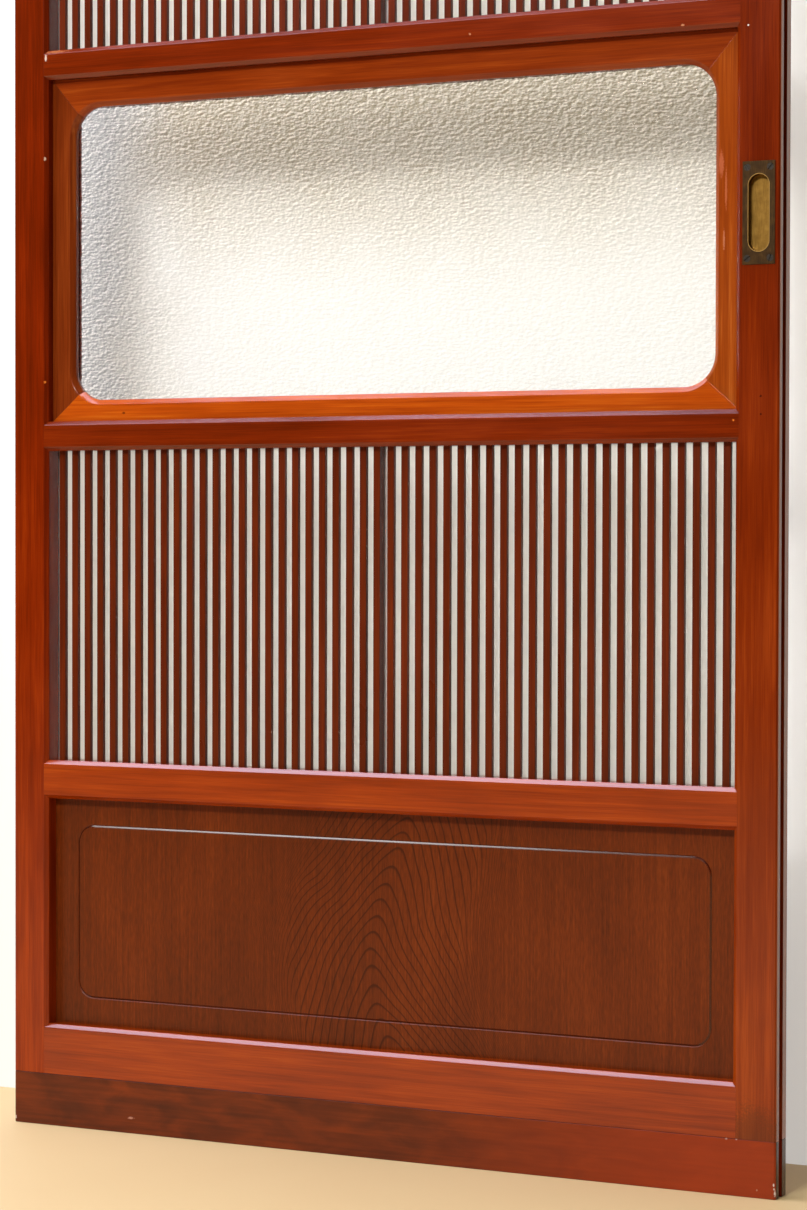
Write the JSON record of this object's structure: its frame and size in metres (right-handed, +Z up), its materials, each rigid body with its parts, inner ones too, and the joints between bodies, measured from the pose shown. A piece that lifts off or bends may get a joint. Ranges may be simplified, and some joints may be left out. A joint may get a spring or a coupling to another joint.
{
  "type": "sliding lattice door",
  "caption": "Upright wooden sliding door leaf with slatted lattices over frosted panes, a framed figured glass pane, a recessed panel and a brass finger pull.",
  "frame": {"origin": "centre of the leaf's bottom edge, where it stands", "axes": "+Z up along the leaf's height, +X along its width towards the stile with the finger pull, -Y out of its front face"},
  "size_m": [0.887, 0.0308, 1.8],
  "materials": {
    "stained_wood": "red-brown stain under gloss varnish",
    "slat_wood": "darker red-brown stain under satin varnish",
    "subframe_wood": "orange-brown stain under gloss varnish",
    "veneer": "cathedral-grained veneer under satin varnish",
    "extension_wood": "dull red-brown stain",
    "bead_wood": "red-brown stain under satin varnish",
    "frosted_glass": "acid-etched, white",
    "figured_glass": "rolled with a pebbled relief",
    "brass": "aged, brushed",
    "screw_steel": "blackened, worn bright at the rims"
  },
  "bodies": {
    "root": {"bottom_extension": "extension_wood", "bottom_rail": "stained_wood", "figured_glass": "figured_glass", "finger_pull": "brass", "pull_screws": "screw_steel", "glass_bottom_bead": "bead_wood", "glass_bottom_rail": "stained_wood", "glass_left_bead": "bead_wood", "glass_right_bead": "bead_wood", "glass_top_bead": "bead_wood", "glass_top_rail": "stained_wood", "left_stile": "stained_wood", "lower_bottom_bead": "bead_wood", "lower_left_bead": "bead_wood", "lower_left_pane": "frosted_glass", "lower_middle_bead": "bead_wood", "lower_mullion": "bead_wood", "lower_panel": "veneer", "lower_right_bead": "bead_wood", "lower_right_pane": "frosted_glass", "lower_slats": "slat_wood", "lower_top_bead": "bead_wood", "panel_top_rail": "stained_wood", "right_stile": "stained_wood", "subframe_bottom": "subframe_wood", "subframe_left": "subframe_wood", "subframe_right": "subframe_wood", "subframe_top": "subframe_wood", "top_rail": "stained_wood", "upper_bottom_bead": "bead_wood", "upper_left_bead": "bead_wood", "upper_left_pane": "frosted_glass", "upper_middle_bead": "bead_wood", "upper_mullion": "bead_wood", "upper_right_bead": "bead_wood", "upper_right_pane": "frosted_glass", "upper_slats": "slat_wood", "upper_top_bead": "bead_wood"}
  },
  "joints": []
}
